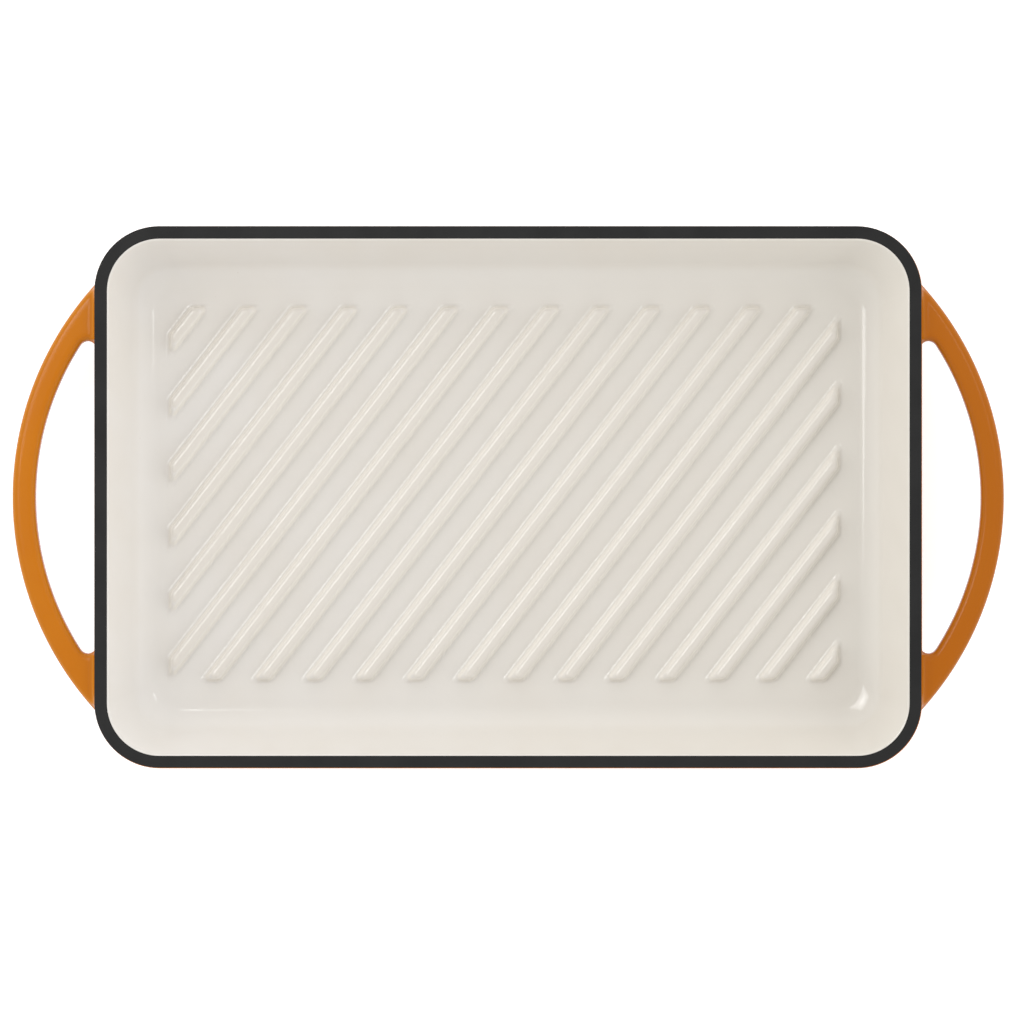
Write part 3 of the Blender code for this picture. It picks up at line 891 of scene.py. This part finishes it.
def model_handle():
    """The right handle: a rounded loop, flared up to the rim and run into the wall with soft fillets."""
    sizes = bpy.context.scene.grill_handles
    low, high = HANDLE_LOW.z, HANDLE_HIGH.z
    end_x = RIM_OUTLINE.x
    handle = loop_prism("right_handle", 0.0, low, high)
    edit_all(handle)

    def rounded(edge):
        flat = [face for face in edge.link_faces if abs(face.normal.z) > 0.99]
        upright = [face for face in edge.link_faces if abs(face.normal.z) < 0.01]
        return len(flat) == 1 and len(upright) == 1 and max(v.co.x for v in edge.verts) > LOOP_START + TINY

    pick("EDGE", rounded)
    bpy.ops.mesh.bevel(offset=sizes.edge_radius, segments=5, profile=0.5, affect="EDGES")
    bpy.ops.object.mode_set(mode="OBJECT")

    # The flare rises from the bar to just under the rim, and a lying cylinder hollows it out
    flare_x = end_x + sizes.flare_radius
    flare = loop_prism("flare", 0.0011, low + 0.002, RIM_OUTLINE.z - 0.0002)
    cut_all(flare, ((flare_x, 0, 0), (1, 0, 0)))
    overlap = 0.00005
    hollow = add_prism(
        "hollow", sizes.flare_radius, (flare_x + overlap, 0.0), high, high + 2 * sizes.flare_radius, axis="Y",
        vertices=96, depth=0.4,
    )
    apply_modifier(flare, "BOOLEAN", operation="DIFFERENCE", solver="EXACT", object=hollow)
    bpy.data.objects.remove(hollow)

    # The roots are two pieces of the wall, sunk a little, so that their ends lie under the orange coat
    sink = 0.00012
    root = model_wall("root")
    bpy.ops.object.mode_set(mode="OBJECT")
    apply_modifier(root, "SOLIDIFY", thickness=0.002, offset=-1.0)
    cut_all(
        root, ((end_x - 0.012, 0, 0), (-1, 0, 0)), ((0, 0, low - 0.006), (0, 0, -1)),
        ((0, ROOT_TO, 0), (0, 1, 0)), ((0, -ROOT_TO, 0), (0, -1, 0)),
    )
    edit_all(root)
    for side in (1, -1):
        bpy.ops.mesh.select_all(action="SELECT")
        bpy.ops.mesh.bisect(plane_co=(0, side * ROOT_FROM, 0), plane_no=(0, 1, 0))
    pick("FACE", lambda face: abs(face.calc_center_median().y) < ROOT_FROM)
    bpy.ops.mesh.delete(type="FACE")
    bpy.ops.mesh.select_mode(type="EDGE")
    bpy.ops.mesh.select_all(action="SELECT")
    bpy.ops.mesh.fill_holes(sides=0)
    bpy.ops.mesh.select_all(action="SELECT")
    bpy.ops.transform.translate(value=(-sink, 0.0, 0.0))
    bpy.ops.object.mode_set(mode="OBJECT")
    join_pieces(handle, flare, root)
    apply_modifier(handle, "REMESH", mode="VOXEL", voxel_size=sizes.fineness, use_smooth_shade=True)
    apply_modifier(handle, "SMOOTH", factor=0.5, iterations=10)
    cut_all(handle, ((SKIN_START, 0, RIM_OUTLINE.z), (-cos(WALL_LEAN), 0, sin(WALL_LEAN))))
    return handle


class GRILL_OT_handles(bpy.types.Operator):
    """Model the two loop handles: one cast shape and its mirrored copy"""

    bl_idname = "grill.handles"
    bl_label = "Loop Handles"

    def execute(self, context):
        right = model_handle()
        select_only(right)
        bpy.ops.object.duplicate()
        left = context.object
        left.name = left.data.name = "left_handle"
        edit_all(left)
        bpy.ops.transform.resize(value=(-1.0, 1.0, 1.0), center_override=(0.0, 0.0, 0.0))
        bpy.ops.mesh.normals_make_consistent(inside=False)
        for handle, node in ((left, "left_handle_enamel"), (right, "right_handle_enamel")):
            finish_piece(handle, orange_enamel(), "orange_enamel", node, crease=60.0, weighted=False)
        return {"FINISHED"}


class GRILL_OT_underside(bpy.types.Operator):
    """Model the matte band under the foot and the orange coat inside it"""

    bl_idname = "grill.underside"
    bl_label = "Foot and Base"

    def execute(self, context):
        sizes = plate()
        outer = RIM_OUTLINE.x - FOOT_OUTLINE.x
        foot_width = 0.007
        inner = outer + foot_width
        radius = 0.011
        edge = 0.00015
        top = FOOT_OUTLINE.z
        section = [(outer, top)] + arc(Circle(outer + edge, edge, edge), 270.0, 180.0, 3)
        section += arc(Circle(inner - edge, edge, edge), 180.0, 90.0, 3) + [(inner, top)]
        band = start_piece("foot_band")
        skin([Ring(inset, radius + outer - inset, z) for inset, z in section], steps=16, closed=True)
        face_outwards(band, ((0.0, FOOT_OUTLINE.y - foot_width / 2, 0.0), (0, 0, -1)))
        finish_piece(band, ground_enamel(), "black_ground_enamel", "black_foot_enamel")

        inset = RIM_OUTLINE.x - BASE_OUTLINE.x
        section = [(inset, BASE_OUTLINE.z)] + arc(Circle(inset + edge, BASE_LOW + edge, edge), 270.0, 180.0, 3)
        rings = [Ring(x, radius + outer - x, z) for x, z in section]
        rings.append(Ring(inset=inset + 0.002, radius=0.0025, z=BASE_LOW))
        base = start_piece("orange_base")
        skin(rings, steps=16)
        for end in (rings[0], rings[-1]):
            pick("EDGE", lambda side: all(on_ring(vertex, end) for vertex in side.verts))
            bpy.ops.mesh.edge_face_add()
        face_outwards(base, ((0.0, 0.0, BASE_LOW), (0, 0, -1)))
        finish_piece(base, orange_enamel(), "orange_enamel", "orange_base_enamel")
        return {"FINISHED"}


class GRILL_OT_casting(bpy.types.Operator):
    """Give the iron casting under the enamel its finish"""

    bl_idname = "grill.casting"
    bl_label = "Iron Casting"

    def execute(self, context):
        iron = cast_iron()
        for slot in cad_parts["iron_casting"].material_slots:
            slot.material = iron
        return {"FINISHED"}


def add_panel_light(name, place, aim, width, height, power):
    """A rectangular light at a place, facing a point of the plate."""
    bpy.ops.object.select_all(action="DESELECT")
    bpy.ops.object.light_add(type="AREA", location=place)
    lamp = bpy.context.object
    lamp.name = name
    lamp.rotation_euler = (Vector(place) - Vector(aim)).to_track_quat("Z", "Y").to_euler()
    lamp.data.shape = "RECTANGLE"
    lamp.data.size = width
    lamp.data.size_y = height
    lamp.data.energy = power
    return lamp


def seen_directly(nodes):
    """1 for rays that show a surface itself, from the camera or in a reflection, and 0 for its light."""
    rays = nodes.add("ShaderNodeLightPath").outputs
    shown = nodes.math("MAXIMUM", rays["Is Camera Ray"], rays["Is Glossy Ray"])
    return nodes.math("MAXIMUM", shown, rays["Is Transmission Ray"])


def light_tent(studio):
    """A world that is bright low down on all four sides and dim overhead, as inside a light tent."""
    world = bpy.data.worlds.new("light_tent")
    bpy.context.scene.world = world
    world.use_nodes = True
    sky = Nodes(world.node_tree)
    direction = sky.add("ShaderNodeTexCoord").outputs["Generated"]
    rise, narrowness = radians(15.0), 4.0
    total = 0.0
    for level, azimuth in zip(studio.tent, (0.0, 90.0, 180.0, 270.0)):
        side = (cos(rise) * cos(radians(azimuth)), cos(rise) * sin(radians(azimuth)), sin(rise))
        towards = sky.add("ShaderNodeVectorMath", {"operation": "DOT_PRODUCT"})
        sky.give(towards.inputs[0], direction)
        sky.give(towards.inputs[1], side)
        facing = sky.math("MAXIMUM", towards.outputs["Value"], 0.0)
        total = sky.math("MULTIPLY_ADD", sky.math("POWER", facing, narrowness), level, total)
    background = sky.tree.nodes["Background"]
    sky.give(background.inputs["Color"], (1.0, 1.0, 1.0, 1.0))
    sky.give(background.inputs["Strength"], sky.blend(total, 1.0, seen_directly(sky)))


def studio_floor():
    """A plain white floor that shows white to the camera and in reflections, and keeps the shadow."""
    bpy.ops.object.select_all(action="DESELECT")
    bpy.ops.mesh.primitive_plane_add(size=6.0)
    floor = bpy.context.object
    floor.name = "studio_floor"
    finish = Finish("studio_floor_finish", Roughness=0.6, Specular_IOR_Level=0.2, Emission_Color=(1, 1, 1, 1))
    drift = finish.effect("Tone Drift", Scale=3.0)
    finish.feed(Base_Color=finish.tint((0.80, 0.80, 0.80), (0.79, 0.79, 0.79), drift))
    finish.feed(Emission_Strength=finish.math("MULTIPLY", seen_directly(finish), FLOOR_GLOW))
    floor.data.materials.append(finish.material)


class GRILL_OT_studio(bpy.types.Operator):
    """Set up the camera straight above the plate, the lights and the white floor"""

    bl_idname = "grill.studio"
    bl_label = "Studio"

    def execute(self, context):
        studio = context.scene.grill_studio
        bpy.ops.object.select_all(action="DESELECT")
        place = (studio.view_x, VIEW_Y, RIM_OUTLINE.z + studio.camera_height)
        bpy.ops.object.camera_add(location=place, rotation=(0.0, 0.0, 0.0))
        camera = context.object
        camera.name = "camera"
        camera.data.sensor_width = 36.0
        camera.data.lens = 36.0 * studio.camera_height / studio.view_width
        camera.data.clip_end = 20.0
        context.scene.camera = camera
        context.scene.view_settings.view_transform = "Standard"
        core_power = CORE_SHARE * studio.key_power
        for name, place, aim, width, height, power in (
            ("key_softbox", (-0.892, 0.591, 2.067), LOWER_RIGHT, 0.95, 1.15, studio.key_power),
            ("key_core", (-0.888, 0.588, 2.058), LOWER_RIGHT, 0.40, 0.40, core_power),
            ("strip_light", (0.560, 0.255, 1.848), LOWER_LEFT, 0.28, 0.16, studio.strip_power),
        ):
            add_panel_light(name, place, aim, width, height, power)
        light_tent(studio)
        studio_floor()
        return {"FINISHED"}


STEPS = (
    GRILL_OT_lining, GRILL_OT_rim, GRILL_OT_wall, GRILL_OT_handles, GRILL_OT_underside, GRILL_OT_casting,
    GRILL_OT_studio,
)

SETTINGS = {
    PlateSizes: "grill_plate", HandleSizes: "grill_handles", EnamelColours: "enamel_colours",
    StudioSettings: "grill_studio",
}


class GRILL_PT_pieces(bpy.types.Panel):
    """Lists the plate's pieces and their sizes"""

    bl_idname = "GRILL_PT_pieces"
    bl_label = "Grill Plate"
    bl_space_type = "VIEW_3D"
    bl_region_type = "UI"
    bl_category = "Grill Plate"

    def draw(self, context):
        layout = self.layout
        for step in STEPS:
            layout.operator(step.bl_idname)
        for settings in SETTINGS:
            layout.label(text=settings.__doc__)
            owner = getattr(context.scene, SETTINGS[settings])
            for name in settings.__annotations__:
                layout.prop(owner, name)


def register():
    for kind in (*SETTINGS, *STEPS, GRILL_PT_pieces):
        bpy.utils.register_class(kind)
    for kind, name in SETTINGS.items():
        setattr(bpy.types.Scene, name, bpy.props.PointerProperty(type=kind))


def unregister():
    for name in SETTINGS.values():
        delattr(bpy.types.Scene, name)
    for kind in reversed((*SETTINGS, *STEPS, GRILL_PT_pieces)):
        bpy.utils.unregister_class(kind)


def main():
    register()
    bpy.ops.grill.lining()
    bpy.ops.grill.rim()
    bpy.ops.grill.wall()
    bpy.ops.grill.handles()
    bpy.ops.grill.underside()
    bpy.ops.grill.casting()
    bpy.ops.grill.studio()


if __name__ == "__main__":
    main()
